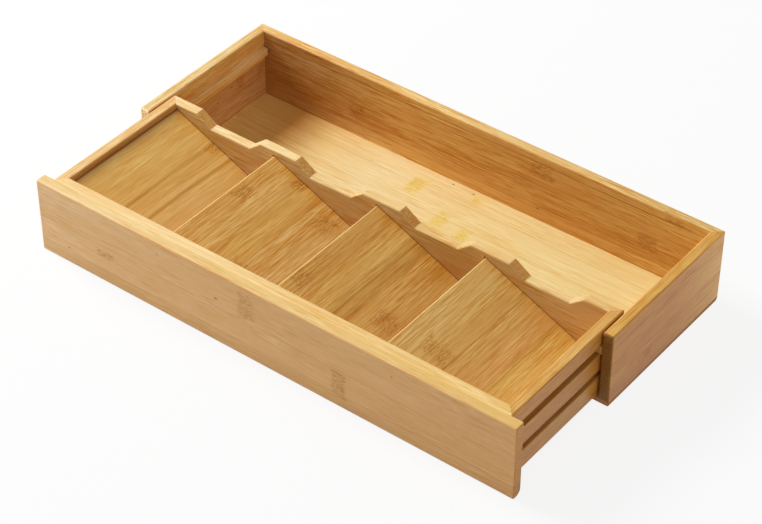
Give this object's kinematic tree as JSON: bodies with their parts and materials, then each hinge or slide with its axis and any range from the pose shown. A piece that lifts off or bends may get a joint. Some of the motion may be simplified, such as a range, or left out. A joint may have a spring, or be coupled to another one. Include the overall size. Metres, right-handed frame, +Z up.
{
  "type": "utensil caddy with drawer",
  "caption": "Low bamboo caddy: an open-fronted tray with a pull-out drawer whose compartments have slanting beds, a notched divider wall and a long trough behind.",
  "frame": {"origin": "middle of the underside on the surface that the caddy stands on, with the drawer drawn out as at rest", "axes": "+X along the caddy's length to the right seen from the drawer's front, +Y from the front panel to the back, +Z up"},
  "size_m": [0.4, 0.2406, 0.06],
  "materials": {
    "tray_floor_bamboo": "satin oiled bamboo",
    "tray_back_bamboo": "satin oiled bamboo",
    "tray_left_side_bamboo": "satin oiled bamboo",
    "tray_right_side_bamboo": "satin oiled bamboo",
    "rail_bamboo": "satin oiled bamboo",
    "front_panel_bamboo": "satin oiled bamboo",
    "inner_front_bamboo": "satin oiled bamboo",
    "drawer_left_side_bamboo": "satin oiled bamboo",
    "drawer_right_side_bamboo": "satin oiled bamboo",
    "notched_wall_bamboo": "satin oiled bamboo",
    "slanted_panel_1_bamboo": "satin oiled bamboo",
    "slanted_panel_2_bamboo": "satin oiled bamboo",
    "slanted_panel_3_bamboo": "satin oiled bamboo",
    "slanted_panel_4_bamboo": "satin oiled bamboo",
    "drawer_floor_bamboo": "satin oiled bamboo"
  },
  "bodies": {
    "tray": {"tray_floor": "tray_floor_bamboo", "tray_back": "tray_back_bamboo", "tray_left_side": "tray_left_side_bamboo", "tray_right_side": "tray_right_side_bamboo", "left_rail": "rail_bamboo", "right_rail": "rail_bamboo"},
    "drawer": {"front_panel": "front_panel_bamboo", "inner_front": "inner_front_bamboo", "drawer_left_side": "drawer_left_side_bamboo", "drawer_right_side": "drawer_right_side_bamboo", "notched_wall": "notched_wall_bamboo", "slanted_panel_1": "slanted_panel_1_bamboo", "slanted_panel_2": "slanted_panel_2_bamboo", "slanted_panel_3": "slanted_panel_3_bamboo", "slanted_panel_4": "slanted_panel_4_bamboo", "drawer_floor": "drawer_floor_bamboo"}
  },
  "joints": [
    {"name": "drawer_slide", "type": "slide", "parent": "tray", "child": "drawer", "axis": [0, 1, 0], "range_m": [0, 0.0972]}
  ]
}
